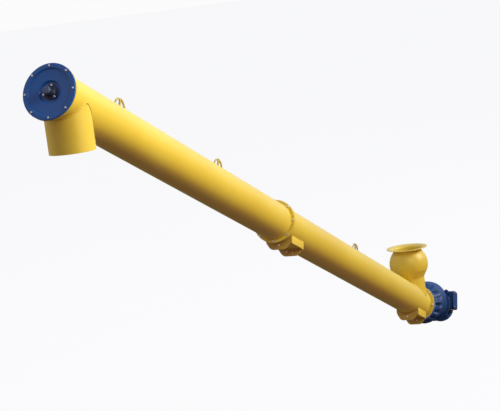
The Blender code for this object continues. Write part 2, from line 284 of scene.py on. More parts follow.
def edgeMask(tree, radius):
    # 1 on edges and 0 on flat faces
    rounded = addNode(tree, "ShaderNodeBevel", {"Radius": radius}, samples=4).outputs["Normal"]
    flat = addNode(tree, "ShaderNodeNewGeometry").outputs["Normal"]
    return remap(tree, combineVectors(tree, "DOT_PRODUCT", rounded, flat, "Value"), 0.985, 0.90)


def layBumps(tree, shader, layers):
    # layers of (height source, strength, distance), coarse to fine
    normal = None
    for source, strength, distance in layers:
        bump = addNode(tree, "ShaderNodeBump", {"Strength": strength, "Distance": distance})
        tree.links.new(source, bump.inputs["Height"])
        if normal is not None:
            tree.links.new(normal, bump.inputs["Normal"])
        normal = bump.outputs["Normal"]
    tree.links.new(normal, shader.inputs["Normal"])


def sprayedPaint(name, look):
    material, tree, shader, coords = newFinish(name)
    drift = remap(tree, addNoise(tree, coords, look["driftScale"], 4), 0.30, 0.70)
    colour = blendColour(tree, drift, look["colour"], look["shade"])
    # dust that settled on what faces up, in thin uneven clouds
    facing = addNode(tree, "ShaderNodeSeparateXYZ")
    tree.links.new(addNode(tree, "ShaderNodeNewGeometry").outputs["Normal"], facing.inputs["Vector"])
    upward = remap(tree, facing.outputs["Z"], 0.35, 1.0)
    clouds = remap(tree, addNoise(tree, coords, 9, 6, 0.6), 0.42, 0.72, 0, look["dustAmount"])
    colour = blendColour(tree, combine(tree, "MULTIPLY", upward, clouds), colour, look["dust"])
    # grime and painted shade held in corners: the occlusion mask darkens creases, in patches
    patchy = remap(tree, addNoise(tree, coords, 34, 4), 0.35, 0.65, 0.4, 1.0)
    grimeAndShade = combine(tree, "MULTIPLY", creaseShadeMask(tree, look["grimeAndShadeReach"]), patchy)
    colour = blendColour(tree, combine(tree, "MULTIPLY", grimeAndShade, look["grimeAndShadeAmount"]), colour, look["grimeAndShade"])
    # chips along edges, and a few specks on open faces
    chipNoise = remap(tree, addNoise(tree, coords, 85, 5, 0.65), 0.56, 0.62)
    chips = combine(tree, "MULTIPLY", edgeMask(tree, 0.0022), chipNoise)
    specks = remap(tree, addNoise(tree, coords, 210, 2), 0.775, 0.80, 0, look["speckAmount"])
    wear = combine(tree, "MAXIMUM", combine(tree, "MULTIPLY", chips, look["chipAmount"]), specks)
    colour = blendColour(tree, wear, colour, look["chip"])
    # gloss differs a little from pass to pass, and is lost under the grime-and-shade mask in corners
    sheen = remap(tree, addNoise(tree, coords, 22, 5), 0.3, 0.7, *look["gloss"])
    dulled = combine(tree, "ADD", sheen, combine(tree, "MULTIPLY", grimeAndShade, 0.25))
    setShader(tree, shader, {"Base Color": colour, "Roughness": dulled, "Specular IOR Level": look["shine"]})
    layBumps(tree, shader, [
        (addNoise(tree, coords, look["waveScale"], 3), look["waveStrength"], 0.004),
        (addNoise(tree, coords, look["peelScale"], 2), look["peelStrength"], 0.0008),
    ])
    return material


# the grime colour, its amount and its reach are for grime and painted shade held in corners
yellowLook = dict(colour=(0.82, 0.615, 0.056), shade=(0.77, 0.555, 0.044), driftScale=2.2,
                  dust=(0.74, 0.67, 0.42), dustAmount=0.30, grimeAndShade=(0.26, 0.16, 0.035), grimeAndShadeAmount=0.35,
                  grimeAndShadeReach=0.03, chip=(0.30, 0.22, 0.10), chipAmount=0.6, speckAmount=0.4,
                  gloss=(0.35, 0.47), waveScale=14, waveStrength=0.05, peelScale=420, peelStrength=0.06,
                  shine=0.5)
blueLook = dict(yellowLook, colour=(0.010, 0.121, 0.370), shade=(0.007, 0.096, 0.300), driftScale=6,
                dust=(0.13, 0.22, 0.38), dustAmount=0.22, grimeAndShade=(0.004, 0.012, 0.035), grimeAndShadeAmount=0.6,
                chip=(0.10, 0.12, 0.16), chipAmount=0.4, speckAmount=0.3, gloss=(0.28, 0.38), waveScale=26)
castLook = dict(blueLook, colour=(0.005, 0.056, 0.185), shade=(0.003, 0.036, 0.130), waveScale=95,
                waveStrength=0.07, peelScale=520, peelStrength=0.08, gloss=(0.42, 0.54), dustAmount=0.07,
                shine=0.36)
# the hatches' end sheets are painted darker and browner as painted shade under the tube; cement dust and rain
# dull their gloss
shadedSheetLook = dict(yellowLook, colour=(0.57, 0.366, 0.048), shade=(0.50, 0.310, 0.038), gloss=(0.45, 0.60))
# the lugs' paint is darker and greyer as painted shade on the thin bars; slings rub it dull and chipped
shadedLugLook = dict(yellowLook, colour=(0.56, 0.44, 0.090), shade=(0.46, 0.36, 0.075), grimeAndShadeAmount=0.6,
               chipAmount=0.8, gloss=(0.45, 0.60))
darkLook = dict(blueLook, colour=(0.022, 0.032, 0.058), shade=(0.015, 0.022, 0.042), dust=(0.12, 0.13, 0.16),
                gloss=(0.38, 0.52), waveScale=110, waveStrength=0.25, chip=(0.20, 0.19, 0.18))
capLook = dict(darkLook, colour=(0.085, 0.125, 0.200), shade=(0.070, 0.105, 0.170))


def platedSteel(name, look):
    # bright zinc: a thin mottle of tone, with dull patches and fine marks
    material, tree, shader, coords = newFinish(name)
    mottle = remap(tree, addNoise(tree, coords, 120, 4), 0.35, 0.65)
    colour = blendColour(tree, mottle, look["colour"], look["shade"])
    # painted shade: ambient occlusion darkens the zinc in its creases
    colour = blendColour(tree, combine(tree, "MULTIPLY", creaseShadeMask(tree, 0.006), 0.6), colour, look["grimeAndShade"])
    dulled = remap(tree, addNoise(tree, coords, 260, 3), 0.3, 0.7, *look["gloss"])
    setShader(tree, shader, {"Base Color": colour, "Roughness": dulled, "Metallic": look["metallic"]})
    layBumps(tree, shader, [(addNoise(tree, coords, 600, 3), 0.12, 0.0004)])
    return material


zincLook = dict(colour=(0.92, 0.89, 0.80), shade=(0.76, 0.73, 0.65), grimeAndShade=(0.20, 0.17, 0.12),
                metallic=0.45, gloss=(0.30, 0.48))


def scouredSteel(name, look):
    # steel worn by the bulk material: fine rings along the tube, bright edges and pale dust
    material, tree, shader, coords = newFinish(name)
    rings = addNoise(tree, coords, 40, 6, 0.7, stretch=(9, 1, 1))
    colour = blendColour(tree, remap(tree, rings, 0.3, 0.7), look["colour"], look["shade"])
    powder = remap(tree, addNoise(tree, coords, 17, 6, 0.6), 0.45, 0.70, 0, 0.75)
    colour = blendColour(tree, powder, colour, look["powder"])
    colour = blendColour(tree, combine(tree, "MULTIPLY", edgeMask(tree, 0.003), 0.6), colour, look["bright"])
    dulled = remap(tree, powder, 0, 0.75, 0.38, 0.75)
    setShader(tree, shader, {"Base Color": colour, "Roughness": dulled, "Metallic": look["metallic"]})
    layBumps(tree, shader, [(rings, 0.15, 0.001), (addNoise(tree, coords, 300, 3), 0.15, 0.0005)])
    return material


screwLook = dict(colour=(0.34, 0.33, 0.31), shade=(0.22, 0.21, 0.19), powder=(0.42, 0.40, 0.36),
                 bright=(0.62, 0.61, 0.58), metallic=0.55)


def mouldedRubber(name, look):
    material, tree, shader, coords = newFinish(name)
    mottle = remap(tree, addNoise(tree, coords, 60, 4), 0.35, 0.65)
    colour = blendColour(tree, mottle, look["colour"], look["shade"])
    setShader(tree, shader, {"Base Color": colour, "Roughness": remap(tree, mottle, 0, 1, *look["gloss"])})
    layBumps(tree, shader, [(addNoise(tree, coords, 350, 3), 0.2, 0.0005)])
    return material


glandLook = dict(colour=(0.05, 0.055, 0.065), shade=(0.03, 0.033, 0.04), gloss=(0.42, 0.58))
sealLook = dict(colour=(0.62, 0.58, 0.44), shade=(0.46, 0.42, 0.30), gloss=(0.5, 0.7))

yellowPaint = sprayedPaint("yellow_sprayed_paint", yellowLook)
shadedLugPaint = sprayedPaint("yellow_paint_with_painted_shade_on_lugs", shadedLugLook)
shadedSheetPaint = sprayedPaint("yellow_paint_with_painted_shade_on_sheets", shadedSheetLook)
bluePaint = sprayedPaint("blue_sprayed_paint", blueLook)
castPaint = sprayedPaint("blue_paint_on_casting", castLook)
darkPaint = sprayedPaint("dark_paint_on_casting", darkLook)
capPaint = sprayedPaint("grey_paint_on_cap", capLook)
zincPlate = platedSteel("zinc_plate", zincLook)
screwSteel = scouredSteel("scoured_steel", screwLook)
glandPlastic = mouldedRubber("gland_plastic", glandLook)
sealStrip = mouldedRubber("joint_sealant", sealLook)
print("finishes made")


# fasteners and welds

sizes = dict(
    m6=dict(across=0.010, head=0.0040, washer=0.0062, washerThick=0.0012, nut=0.0050, stub=0.0035),
    m8=dict(across=0.013, head=0.0053, washer=0.0080, washerThick=0.0016, nut=0.0068, stub=0.0045),
    m10=dict(across=0.016, head=0.0064, washer=0.0095, washerThick=0.0020, nut=0.0084, stub=0.0060),
)


def hexBlank(start, height, across, chamfer=0.14, topShare=0.86):
    corner = across / math.sqrt(3)
    return turned([(start, 0), (start, corner), (start + height * (1 - chamfer), corner),
                   (start + height, corner * topShare), (start + height, 0)], "Z", 6)


def hexOnWasher(size, height):
    washer = disc(0, size["washerThick"], size["washer"], "Z", 24)
    return [soften(washer, 0.0003, 1), hexBlank(size["washerThick"], height, size["across"])]


def boltHead(size):
    return joined(hexOnWasher(size, size["head"]))


def boltNut(size):
    top = size["washerThick"] + size["nut"]
    shank, cut = size["across"] * 0.31, 0.001
    stub = turned([(top, 0), (top, shank), (top + size["stub"] - cut, shank),
                   (top + size["stub"], shank - cut), (top + size["stub"], 0)], "Z", 16)
    return joined(hexOnWasher(size, size["nut"]) + [stub])


def ringPlaces(at, circle, facing):
    # a bolt circle's places round the tube; facing -1 looks back up the tube and 1 looks down it
    places = []
    count, radius = circle["bolts"], circle["boltCircle"]
    for number in range(count):
        angle = math.radians(circle["boltTurn"]) + math.tau * number / count
        spot = Matrix.Translation((at, -radius * math.sin(angle), radius * math.cos(angle)))
        twist = Matrix.Rotation(random.uniform(0, math.tau), 4, "Z")
        places.append(spot @ Matrix.Rotation(facing * math.pi / 2, 4, "Y") @ twist)
    return places


def ringBolts(size, circle, headAt, nutAt):
    # heads on the joint's side towards the upper end, and nuts on its other side
    heads = copies(boltHead(size), ringPlaces(headAt, circle, -1))
    return [heads, copies(boltNut(size), ringPlaces(nutAt, circle, 1))]


def weldBead(points, size, ripple=0.16):
    # a laid bead: a round bar through the points, whose thickness ripples as the welder weaves
    length = sum((Vector(b) - Vector(a)).length for a, b in zip(points, points[1:]))
    ripples = length / (size * 0.9)
    curve = bpy.data.curves.new("bead", "CURVE")
    curve.dimensions = "3D"
    curve.bevel_depth = size
    curve.bevel_resolution = 1
    spline = curve.splines.new("POLY")
    spline.points.add(len(points) - 1)
    for number, (point, given) in enumerate(zip(spline.points, points)):
        point.co = (*given, 1)
        phase = ripples * number / len(points)
        point.radius = 1 - ripple * (1 - abs(math.sin(math.pi * phase)) + random.uniform(0, 0.3))
    spline.use_cyclic_u = True
    carrier = bpy.data.objects.new("bead", curve)
    bm = bmesh.new()
    bm.from_mesh(carrier.to_mesh())
    carrier.to_mesh_clear()
    bpy.data.objects.remove(carrier)
    bpy.data.curves.remove(curve)
    return bm


def circlePoints(radius, step):
    count = int(math.tau * radius / step)
    angles = [math.tau * number / count for number in range(count)]
    return [(radius * math.cos(angle), radius * math.sin(angle)) for angle in angles]


def ringBead(at, radius, size, axis="X", ripple=0.16):
    # a bead round the tube, or round an upright pipe
    circle = circlePoints(radius, size * 0.45)
    points = [(at, a, b) if axis == "X" else (a, b, at) for a, b in circle]
    return weldBead(points, size, ripple=ripple)


def saddleBead(radius, side, size, outside=0.001):
    # a bead just outside an upright pipe, where it meets the tube
    circle = circlePoints(radius + outside, size * 0.40)
    return weldBead([(x, y, saddleHeight(x, y, side)) for x, y in circle], size)


# the tube in its two sections

pipe = dict(sides=128, step=0.06, fineStep=0.012, outletHole=0.125, inletHole=0.119, holeReach=0.4,
            outletZone=(0, 0.46), inletZone=(6.52, conveyor["end"]))


def pipeSection(start, end, zone):
    # rings along the tube, close together in the zone round its hole
    places = [start]
    while places[-1] < end - 0.001:
        step = pipe["fineStep"] if zone[0] < places[-1] < zone[1] else pipe["step"]
        places.append(min(places[-1] + step, end))
    outside = [(place, tubeRadius) for place in places]
    inside = [(place, tubeRadius - conveyor["wall"]) for place in reversed(places)]
    return turned(outside + inside, "X", pipe["sides"])


def pipeWithHole(shape, hole, holePlace):
    return cutAway(placed(shape, onTube), placed(hole, holePlace))


upperPipe = pipeSection(conveyor["start"] + gap, seamAt - gap / 2, pipe["outletZone"])
outletHole = disc(-pipe["holeReach"], 0, pipe["outletHole"], "Z", 96)
finishPiece("upper_pipe", pipeWithHole(upperPipe, outletHole, onOutlet), yellowPaint, ["upper_tube"], inPlace)
lowerPipe = pipeSection(seamAt + gap / 2, conveyor["end"], pipe["inletZone"])
inletHole = disc(0, pipe["holeReach"], pipe["inletHole"], "Z", 96)
finishPiece("lower_pipe", pipeWithHole(lowerPipe, inletHole, onInlet), yellowPaint, ["lower_tube"], inPlace)
print("tube made")


# flange rings on the tube, with their welds

flanges = dict(thick=0.012, round=0.0012, bore=tubeRadius + gap, weld=0.0032, weldOut=0.0010, weldUp=0.0008)
flangeThick = flanges["thick"]
# each ring's start along the tube, its radius, its weld's name and the side of it that the weld is on
rings = dict(
    upper_end_flange=(conveyor["start"] + gap, 0.164, "upper_end_weld", 1),
    mid_flange_upper=(seamAt - gap / 2 - flangeThick, 0.160, "mid_upper_weld", -1),
    mid_flange_lower=(seamAt + gap / 2, 0.160, "mid_lower_weld", 1),
    drive_end_flange=(conveyor["end"] - flangeThick, 0.165, "drive_end_weld", -1),
)
upperRingAt, midUpperAt, midLowerAt, driveRingAt = [values[0] for values in rings.values()]

for node, (start, radius, *_) in rings.items():
    end, bore = start + flangeThick, flanges["bore"]
    shape = turned([(start, bore), (start, radius), (end, radius), (end, bore)], "X", 128)
    finishPiece(node + "_ring", soften(shape, flanges["round"]), yellowPaint, [node])
for start, _, weld, side in rings.values():
    edge = start - flanges["weldOut"] if side < 0 else start + flangeThick + flanges["weldOut"]
    bead = ringBead(edge, tubeRadius + flanges["weldUp"], flanges["weld"])
    finishPiece(weld, bead, yellowPaint, sharp=60)
print("flange rings made")


# bearing end: the dished plate and the bearing in its middle

plate = dict(radius=0.164, front=0.006, back=conveyor["start"], rimInner=0.1375, webRadius=0.1300,
             webFront=0.014, recessRadius=0.067, recessFloor=0.059, recessFront=0.025, spigot=0.131,
             spigotBack=0.034, round=0.0022, bolts=8, boltCircle=0.150, boltTurn=-2.5)
plateOutline = [
    (plate["recessFront"], 0), (plate["recessFront"], plate["recessFloor"]),
    (plate["webFront"], plate["recessRadius"]), (plate["webFront"], plate["webRadius"]),
    (plate["front"], plate["rimInner"]), (plate["front"], plate["radius"]), (plate["back"], plate["radius"]),
    (plate["back"], plate["spigot"]), (plate["spigotBack"], plate["spigot"]), (plate["spigotBack"], 0),
]
finishPiece("bearing_plate", soften(turned(plateOutline, "X", 128), plate["round"], 3, 20), bluePaint,
            ["bearing_end_plate"])

bearing = dict(seat=0.0247, front=0.0190, radius=0.0440, lobe=0.0070, bolts=3, boltTurn=12, boltCircle=0.0405,
               body=[(0.0190, 0), (0.0190, 0.0350), (0.0130, 0.0275), (-0.0150, 0.0250), (-0.0150, 0)],
               cap=[(-0.0153, 0), (-0.0153, 0.0235), (-0.0240, 0.0232), (-0.0300, 0.0195), (-0.0300, 0)])


def lobedBase():
    # a round flange whose outline swells at its three bolts
    bm = disc(bearing["front"], bearing["seat"], bearing["radius"])
    for vert in bm.verts:
        radius = math.hypot(vert.co.y, vert.co.z)
        if radius > 0.001:
            angle = math.atan2(-vert.co.y, vert.co.z) - math.radians(bearing["boltTurn"])
            swell = max(0, math.cos(bearing["bolts"] * angle)) ** 2 * bearing["lobe"]
            vert.co.y *= 1 + swell / radius
            vert.co.z *= 1 + swell / radius
    return soften(bm, 0.0016)


bearingBody = joined([lobedBase(), soften(turned(bearing["body"], "X", 64), 0.0012, 2)])
finishPiece("bearing_body", bearingBody, darkPaint, ["bearing_housing"])
finishPiece("bearing_cap", soften(turned(bearing["cap"], "X", 64), 0.0015, 3, 20), capPaint)

plateBolts = ringBolts(sizes["m6"], plate, plate["front"], upperRingAt + flangeThick)
finishPiece("bearing_plate_bolts", joined(plateBolts), zincPlate)
bearingHeads = copies(boltHead(sizes["m6"]), ringPlaces(bearing["front"], bearing, -1))
finishPiece("bearing_bolts", bearingHeads, zincPlate)
print("bearing end made")


# outlet spout

spout = dict(radius=0.134, wall=0.004, drop=0.289, rows=16, weld=0.0042)


def uprightPipe(radius, wall, rows, side, farHeight):
    # an upright pipe between the tube's surface and a level end
    shares = spread(0, 1, rows)
    inner = [(share, radius - wall) for share in reversed(shares)]
    bm = turned([(share, radius) for share in shares] + inner, "Z", 128)
    for vert in bm.verts:
        near = saddleHeight(vert.co.x, vert.co.y, side)
        vert.co.z = near + (farHeight - near) * vert.co.z
    bmesh.ops.recalc_face_normals(bm, faces=bm.faces)
    return bm


spoutPipe = uprightPipe(spout["radius"], spout["wall"], spout["rows"], -1, -spout["drop"])
finishPiece("spout_pipe", spoutPipe, yellowPaint, ["outlet_spout"], onOutlet)
spoutBead = saddleBead(spout["radius"], -1, spout["weld"])
finishPiece("spout_weld", spoutBead, yellowPaint, place=onOutlet, sharp=60)
print("outlet made")


# inlet: pipe, cone, ball and flared rim

inlet = dict(neckRadius=0.128, neckTop=0.228, rows=14, coneTop=0.295, coneRadius=0.1645, ballRadius=0.1745,
             ballCentre=0.352, ballTop=0.466, throat=0.129, throatTop=0.475, rimRadius=0.185, rimTop=0.506,
             rimEdge=0.005, funnelFoot=0.479, lip=0.176, wall=0.005, sleeve=0.435, sleeveRadius=0.117,
             sleeveWall=0.004, seam=0.0024, seamProud=0.0004, weld=0.0065)


def ballArc(radius, low, high, steps):
    centre = inlet["ballCentre"]
    angles = spread(math.asin((low - centre) / radius), math.asin((high - centre) / radius), steps)
    return [(centre + radius * math.sin(angle), radius * math.cos(angle)) for angle in angles]


def flareArc(foot, footRadius, top, topRadius, steps=14):
    # a quarter of an oval, upright at its foot and level at its top
    rise, reach = top - foot, topRadius - footRadius
    return [(foot + rise * math.sin(angle), footRadius + reach * (1 - math.cos(angle)))
            for angle in spread(0, math.pi / 2, steps)]


wall = inlet["wall"]
neck = uprightPipe(inlet["neckRadius"], wall, inlet["rows"], 1, inlet["neckTop"])
finishPiece("inlet_pipe", neck, yellowPaint, ["inlet_neck"], onInlet)
coneFoot = inlet["neckTop"] + gap
coneOuter = [(coneFoot, inlet["neckRadius"]), (inlet["coneTop"], inlet["coneRadius"])]
coneInner = [(height, radius - wall) for height, radius in reversed(coneOuter)]
finishPiece("inlet_taper", turned(coneOuter + coneInner, "Z", 128), yellowPaint, ["inlet_cone"], onInlet)
ballFoot = inlet["coneTop"] + gap
ball = turned(ballArc(inlet["ballRadius"], ballFoot, inlet["ballTop"], 28)
              + ballArc(inlet["ballRadius"] - wall, inlet["ballTop"], ballFoot, 28), "Z", 128)
finishPiece("inlet_bowl", ball, yellowPaint, ["inlet_ball"], onInlet)
rimFoot = inlet["ballTop"] + gap
flare = flareArc(inlet["throatTop"], inlet["throat"], inlet["rimTop"] - inlet["rimEdge"], inlet["rimRadius"])
funnel = flareArc(inlet["funnelFoot"], inlet["throat"] - wall, inlet["rimTop"], inlet["lip"])
# the funnel runs on as a short sleeve inside the ball
sleeve = [(inlet["sleeve"], inlet["sleeveRadius"]),
          (inlet["sleeve"], inlet["sleeveRadius"] + inlet["sleeveWall"]), (rimFoot, inlet["throat"] - wall)]
rim = turned([(rimFoot, inlet["throat"])] + flare + [(inlet["rimTop"], inlet["rimRadius"])] + funnel[::-1]
             + sleeve, "Z", 128)
finishPiece("inlet_flare", soften(rim, 0.0012, 3, 50), yellowPaint, ["inlet_rim"], onInlet)

# the seams are ground nearly flush, so that little of their beads stands proud
seams = dict(neck_seam=(inlet["neckTop"], inlet["neckRadius"]),
             ball_seam=(inlet["coneTop"], inlet["coneRadius"]),
             throat_seam=(inlet["ballTop"], inlet["throat"]))
for name, (height, radius) in seams.items():
    reach = radius - inlet["seam"] + inlet["seamProud"]
    bead = ringBead(height, reach, inlet["seam"], "Z", ripple=0.02)
    finishPiece(name, bead, yellowPaint, place=onInlet, sharp=60)
inletBead = saddleBead(inlet["neckRadius"], 1, inlet["weld"])
finishPiece("inlet_weld", inletBead, yellowPaint, place=onInlet, sharp=60)
print("inlet made")


# lifting lugs: a bent bar over a middle post

lug = dict(places=(0.849, 2.317, 5.170), radius=0.066, bar=0.0062, post=0.0072, sunk=0.002, sides=20,
           steps=32, weld=0.0035, weldStep=0.0015)


def lugShape():
    bm = bmesh.new()
    foot = tubeRadius - lug["sunk"]
    made = bmesh.ops.create_circle(bm, cap_ends=True, radius=lug["bar"], segments=lug["sides"])
    bmesh.ops.translate(bm, vec=(lug["radius"], 0, foot), verts=made["verts"])
    top = grow(bm, bm.faces[:][0], (0, 0, lug["sunk"]))
    spun = bmesh.ops.spin(bm, geom=[top] + top.edges[:] + top.verts[:], cent=(0, 0, tubeRadius),
                          axis=(0, -1, 0), angle=math.pi, steps=lug["steps"])
    last = [part for part in spun["geom_last"] if isinstance(part, bmesh.types.BMFace)][0]
    grow(bm, last, (0, 0, -lug["sunk"]))
    bmesh.ops.recalc_face_normals(bm, faces=bm.faces)
    post = disc(foot, tubeRadius + lug["radius"], lug["post"], "Z", 24)
    return joined([bm, post])


def footBead(x, radius):
    # a fillet round a bar's foot, lying on the tube's round top
    circle = circlePoints(radius, lug["weldStep"])
    return weldBead([(x + a, b, math.sqrt(tubeRadius ** 2 - b ** 2)) for a, b in circle], lug["weld"])


for number, place in enumerate(lug["places"], 1):
    onTop = onTube @ Matrix.Translation((place, 0, 0))
    finishPiece(f"sling_lug_{number}", lugShape(), shadedLugPaint, [f"lifting_lug_{number}"], onTop)
    feet = [(-lug["radius"], lug["bar"]), (0, lug["post"]), (lug["radius"], lug["bar"])]
    beads = [footBead(*foot) for foot in feet]
    finishPiece(f"sling_lug_{number}_welds", joined(beads), yellowPaint, place=onTop, sharp=60)
print("lugs made")


# inspection boxes under the tube

hatch = dict(starts={"mid": 3.450, "lower": 6.630}, drops={"mid": 0.192, "lower": 0.202},
             nearBolt={"mid": -0.159, "lower": -0.171}, farBolts=((0.029, -0.159), (-0.017, -0.166)),
             length=0.250, plate=0.005, half=0.103, sideDrop=0.134, footHalf=0.060, cornerRound=0.022,
             wall=0.004, leftDrop=0.131, rightDrops={"mid": 0.147, "lower": 0.152}, coverDrop=0.139,
             archSteps=28, round=0.0007)


def hatchPlate(start, drop):
    half, foot = hatch["half"], hatch["footHalf"]
    reach = tubeRadius + gap
    widest = math.asin(half / reach)
    bm = bmesh.new()
    arch = spread(widest, -widest, hatch["archSteps"])
    under = [(-reach * math.sin(angle), -reach * math.cos(angle)) for angle in arch]
    corners = [(half, -hatch["sideDrop"]), (foot, -drop), (-foot, -drop), (-half, -hatch["sideDrop"])]
    verts = [bm.verts.new((start, across, up)) for across, up in under + corners]
    bm.faces.new(verts)
    roundOff(bm, verts[len(under):], hatch["cornerRound"], 6, "VERTICES")
    grow(bm, bm.faces[:][0], (hatch["plate"], 0, 0))
    bmesh.ops.recalc_face_normals(bm, faces=bm.faces)
    return soften(bm, hatch["round"], 2, 60)


def hatchWall(start, end, side, drop):
    half = hatch["half"]
    across = sorted((side * half, side * (half - hatch["wall"])))
    bm = block((start, across[0], -drop), (end, across[1], 0))
    for vert in bm.verts:
        if vert.co.z > -drop / 2:
            vert.co.z = -math.sqrt((tubeRadius + gap) ** 2 - vert.co.y ** 2)
    return soften(bm, hatch["round"], 2, 60)


def boltPair(size, at, thick, across, up):
    # a bolt through a plate: its head towards the upper end, its nut behind
    head = Matrix.Translation((at, across, up)) @ Matrix.Rotation(-math.pi / 2, 4, "Y")
    nut = Matrix.Translation((at + thick, across, up)) @ Matrix.Rotation(math.pi / 2, 4, "Y")
    return [placed(boltHead(size), head), placed(boltNut(size), nut)]


for where, start in hatch["starts"].items():
    end = start + hatch["length"]
    drop = hatch["drops"][where]
    for side, front, node in (("near", start, "front_plate"), ("far", end - hatch["plate"], "rear_plate")):
        finishPiece(f"{where}_hatch_{side}_sheet", hatchPlate(front, drop), shadedSheetPaint,
                    [f"{where}_hatch_{node}"])
    inside = (start + hatch["plate"] + gap, end - hatch["plate"] - gap)
    for side, sign, wallDrop in (("left", 1, hatch["leftDrop"]), ("right", -1, hatch["rightDrops"][where])):
        finishPiece(f"{where}_hatch_{side}_sheet", hatchWall(*inside, sign, wallDrop), yellowPaint,
                    [f"{where}_hatch_{side}_wall"])
    coverHalf = hatch["half"] - hatch["wall"] - gap
    under = -hatch["coverDrop"]
    cover = block((inside[0], -coverHalf, under), (inside[1], coverHalf, under + hatch["wall"]))
    finishPiece(f"{where}_hatch_lid", soften(cover, hatch["round"], 2, 60), yellowPaint,
                [f"{where}_hatch_cover"])
    bolts = boltPair(sizes["m8"], start, hatch["plate"], 0, hatch["nearBolt"][where])
    for across, up in hatch["farBolts"]:
        bolts += boltPair(sizes["m8"], end - hatch["plate"], hatch["plate"], across, up)
    finishPiece(f"{where}_hatch_bolts", joined(bolts), zincPlate)
print("inspection boxes made")


# bolts of the mid and drive flanges

midCircle = dict(bolts=8, boltCircle=0.149, boltTurn=0)
driveCircle = dict(bolts=8, boltCircle=0.1555, boltTurn=6)
midBolts = ringBolts(sizes["m8"], midCircle, midUpperAt, midLowerAt + flangeThick)
finishPiece("mid_flange_bolts", joined(midBolts), zincPlate)

# each drive bolt has a nut and a lock nut behind the gear case's foot
drive = dict(adapterThick=0.024, adapterRadius=0.172, footThick=0.0135, footRadius=0.1665, seal=0.0016,
             sealRadius=0.1655)
adapterAt = conveyor["end"] + gap
caseAt = adapterAt + drive["adapterThick"] + gap
nutAt = caseAt + drive["footThick"] + gap
lockAt = nutAt + sizes["m10"]["washerThick"] + sizes["m10"]["nut"]
driveBolts = ringBolts(dict(sizes["m10"], stub=0.0015), driveCircle, driveRingAt, nutAt)
lockNut = boltNut(dict(sizes["m10"], washerThick=0.0005, stub=0.0090))
driveBolts.append(copies(lockNut, ringPlaces(lockAt, driveCircle, 1)))
finishPiece("drive_flange_bolts", joined(driveBolts), zincPlate)


# the screw inside

auger = dict(shaft=0.042, flight=0.122, sunk=0.001, thick=0.004, pitch=0.230, steps=48, hangerRadius=0.045,
             hangerHalf=0.040, arm=(0.015, 0.012), armFoot=0.040, armTop=0.1305)
hangerLow, hangerHigh = seamAt - auger["hangerHalf"], seamAt + auger["hangerHalf"]
# each shaft's start and end, and where its flight begins
spans = dict(upper=(plate["spigotBack"] + gap, hangerLow - gap, 0.080),
             lower=(hangerHigh + gap, conveyor["end"], 3.420))


def flightRibbon(first, turns):
    bm = bmesh.new()
    inner, outer, thick = auger["shaft"] - auger["sunk"], auger["flight"], auger["thick"]
    corners = [(first, inner), (first, outer), (first + thick, outer), (first + thick, inner)]
    section = bm.faces.new([bm.verts.new((place, 0, radius)) for place, radius in corners])
    bmesh.ops.spin(bm, geom=[section], cent=(0, 0, 0), axis=(1, 0, 0), angle=math.tau * turns,
                   steps=auger["steps"] * turns, dvec=(auger["pitch"] / auger["steps"], 0, 0))
    return bm


for where, (start, end, first) in spans.items():
    shaft = soften(disc(start, end, auger["shaft"], "X", 48), 0.001)
    finishPiece(f"{where}_auger_shaft", shaft, screwSteel, [f"{where}_screw_shaft"])
    flight = flightRibbon(first, int((end - first) / auger["pitch"]))
    finishPiece(f"{where}_auger_flight", flight, screwSteel, [f"{where}_screw_flight"])
hub = soften(disc(hangerLow, hangerHigh, auger["hangerRadius"], "X", 48), 0.002)
along, across = auger["arm"]
arm = block((seamAt - along, -across, auger["armFoot"]), (seamAt + along, across, auger["armTop"]))
finishPiece("hanger_body", joined([hub, soften(arm, 0.002)]), screwSteel, ["hanger_bearing"])
print("screw made")


# drive: adapter flange, gear case, motor and its wire box

adapter = disc(adapterAt, adapterAt + drive["adapterThick"], drive["adapterRadius"], "X", 128)
finishPiece("drive_plate", soften(adapter, 0.0025, 3), bluePaint, ["drive_adapter_flange"])
seal = ringBead(adapterAt - drive["seal"] / 2, drive["sealRadius"], drive["seal"])
finishPiece("drive_joint_sealant", seal, sealStrip, sharp=60)

# the sections hold: ahead, half width, half height, across, up
gearCase = dict(
    sides=160, steps=64, blur=0.012,
    pockets=16, floor=0.138, sharpness=1.05, open=0.30, fadeEnd=0.105, fade=0.06, shallow=0.20,
    plugs=((0.185, -90), (0.200, -35), (0.185, 180)),
    plug=0.020, plugLength=0.010, bossDeep=0.012, bossUp=0.004,
    sections=[(0.000, 0.150, 0.150, 0.000, 0.000), (0.030, 0.155, 0.156, -0.010, 0.005),
              (0.073, 0.170, 0.180, -0.032, 0.013), (0.088, 0.176, 0.190, -0.032, 0.018),
              (0.118, 0.178, 0.190, -0.035, 0.030), (0.153, 0.178, 0.183, -0.035, 0.058),
              (0.213, 0.178, 0.178, -0.035, 0.070), (0.243, 0.168, 0.168, -0.035, 0.070),
              (0.313, 0.140, 0.140, -0.040, 0.060), (0.385, 0.135, 0.135, -0.040, 0.060)],
)
caseLength = gearCase["sections"][-1][0]


def sectionAt(ahead):
    # the case's oval at a distance from its face, straight between the given sections
    rows = gearCase["sections"]
    near, far = next(pair for pair in zip(rows, rows[1:]) if ahead <= pair[1][0])
    share = (ahead - near[0]) / (far[0] - near[0])
    return [a + (b - a) * share for a, b in zip(near[1:], far[1:])]


def easedSection(ahead):
    # the mean of five nearby sections takes the corners off the outline
    shifts = [gearCase["blur"] * share for share in (-1, -0.5, 0, 0.5, 1)]
    found = [sectionAt(min(max(ahead + shift, 0), caseLength)) for shift in shifts]
    return [sum(values) / len(values) for values in zip(*found)]


def eased(value):
    # held between 0 and 1, and smooth at both
    value = min(max(value, 0), 1)
    return value * value * (3 - 2 * value)


